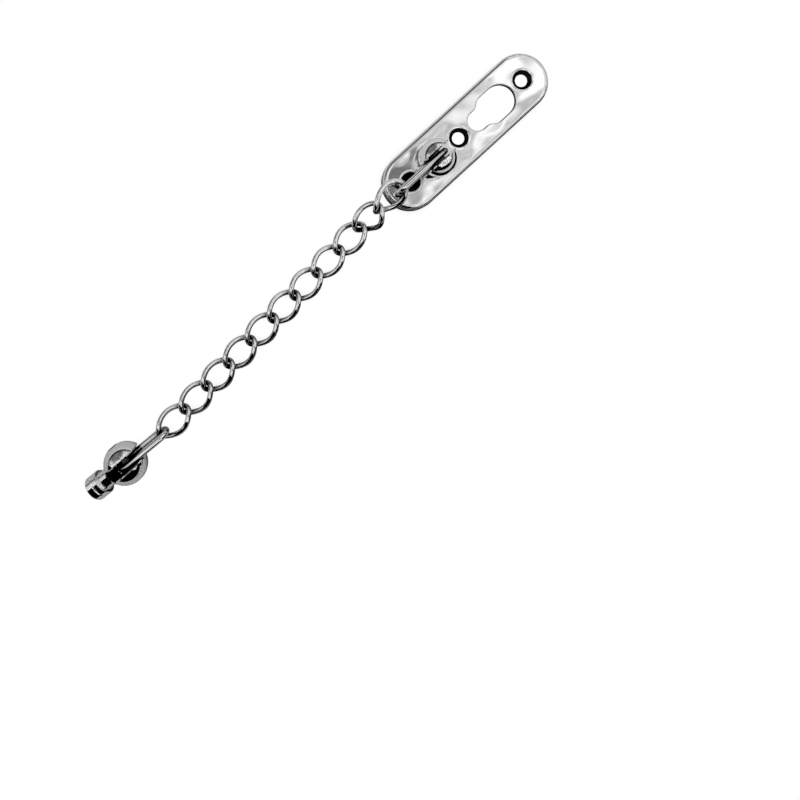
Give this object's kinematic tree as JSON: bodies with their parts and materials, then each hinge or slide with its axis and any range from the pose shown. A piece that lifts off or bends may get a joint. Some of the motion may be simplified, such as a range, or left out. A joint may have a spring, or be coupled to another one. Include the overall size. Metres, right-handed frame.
{
  "type": "door chain guard",
  "caption": "Keyhole plate with a slotted ball stud, and a curb chain between long links that ends in a slotted ball key whose button head slides behind the keyhole.",
  "frame": {"origin": "middle of the plate's back plane, on its long centre line", "axes": "+Z away from the door, +Y along the plate towards the keyhole end, +X to the right seen from the front; the chain is laid out along -Y"},
  "size_m": [0.0249, 0.2386, 0.0226],
  "materials": {
    "plate_nickel": "bright nickel plate over pressed steel, mirror polished",
    "ball_nickel": "bright nickel plate over turned metal, mirror polished",
    "chain_nickel": "bright nickel plate over steel wire, tumbled and polished",
    "pin_steel": "polished pin ends, slightly duller"
  },
  "bodies": {
    "plate": {"back_plate": "plate_nickel", "stud_ball": "ball_nickel", "stud_pin": "pin_steel"},
    "plate_long_link": {"plate_long_link": "chain_nickel"},
    "link_01": {"link_01": "chain_nickel"},
    "link_02": {"link_02": "chain_nickel"},
    "link_03": {"link_03": "chain_nickel"},
    "link_04": {"link_04": "chain_nickel"},
    "link_05": {"link_05": "chain_nickel"},
    "link_06": {"link_06": "chain_nickel"},
    "link_07": {"link_07": "chain_nickel"},
    "link_08": {"link_08": "chain_nickel"},
    "link_09": {"link_09": "chain_nickel"},
    "link_10": {"link_10": "chain_nickel"},
    "link_11": {"link_11": "chain_nickel"},
    "key_long_link": {"key_long_link": "chain_nickel"},
    "key": {"key_body": "ball_nickel", "key_pin": "pin_steel"}
  },
  "joints": [
    {"name": "long_link_lift", "type": "hinge", "parent": "plate", "child": "plate_long_link", "pos_m": [0, -0.0166, 0.0157], "axis": [-1, 0, 0], "range_deg": [-1, 163]},
    {"name": "link_01_turn", "type": "hinge", "parent": "plate_long_link", "child": "link_01", "pos_m": [0, -0.03555, 0.0133], "axis": [0, -0.1254, 0.9921], "range_deg": [-35, 50]},
    {"name": "link_02_turn", "type": "hinge", "parent": "link_01", "child": "link_02", "pos_m": [-0.00061, -0.0466, 0.01036], "axis": [0.2437, 0.2488, -0.9374], "range_deg": [-60, 60]},
    {"name": "link_03_turn", "type": "hinge", "parent": "link_02", "child": "link_03", "pos_m": [-0.00021, -0.05292, 0.0034], "axis": [0.7075, 0.0157, 0.7065], "range_deg": [-60, 60]},
    {"name": "link_04_turn", "type": "hinge", "parent": "link_03", "child": "link_04", "pos_m": [0.00071, -0.06748, 0.00281], "axis": [-0.7039, -0.0731, 0.7065], "range_deg": [-60, 60]},
    {"name": "link_05_turn", "type": "hinge", "parent": "link_04", "child": "link_05", "pos_m": [0.00133, -0.07743, 0.00285], "axis": [-0.7057, -0.0444, -0.7071], "range_deg": [-60, 60]},
    {"name": "link_06_turn", "type": "hinge", "parent": "link_05", "child": "link_06", "pos_m": [0.00225, -0.092, 0.00285], "axis": [0.7057, 0.0444, -0.7071], "range_deg": [-60, 60]},
    {"name": "link_07_turn", "type": "hinge", "parent": "link_06", "child": "link_07", "pos_m": [0.00288, -0.10198, 0.00285], "axis": [0.7057, 0.0444, 0.7071], "range_deg": [-60, 60]},
    {"name": "link_08_turn", "type": "hinge", "parent": "link_07", "child": "link_08", "pos_m": [0.0038, -0.11656, 0.00285], "axis": [-0.7057, -0.0444, 0.7071], "range_deg": [-60, 60]},
    {"name": "link_09_turn", "type": "hinge", "parent": "link_08", "child": "link_09", "pos_m": [0.00442, -0.12654, 0.00285], "axis": [-0.7057, -0.0444, -0.7071], "range_deg": [-60, 60]},
    {"name": "link_10_turn", "type": "hinge", "parent": "link_09", "child": "link_10", "pos_m": [0.00534, -0.14111, 0.00285], "axis": [0.7057, 0.0444, -0.7071], "range_deg": [-60, 60]},
    {"name": "link_11_turn", "type": "hinge", "parent": "link_10", "child": "link_11", "pos_m": [0.00597, -0.15108, 0.00319], "axis": [0.7007, 0.1243, 0.7026], "range_deg": [-60, 60]},
    {"name": "key_link_turn", "type": "hinge", "parent": "link_11", "child": "key_long_link", "pos_m": [0.00688, -0.1628, 0.0044], "axis": [-0.2539, -0.1824, -0.9499], "range_deg": [-60, 60]},
    {"name": "key_turn", "type": "hinge", "parent": "key_long_link", "child": "key", "pos_m": [0.0057, -0.18146, 0.0083], "axis": [-0.9972, 0.0295, 0.0683], "range_deg": [-80, 85]}
  ]
}
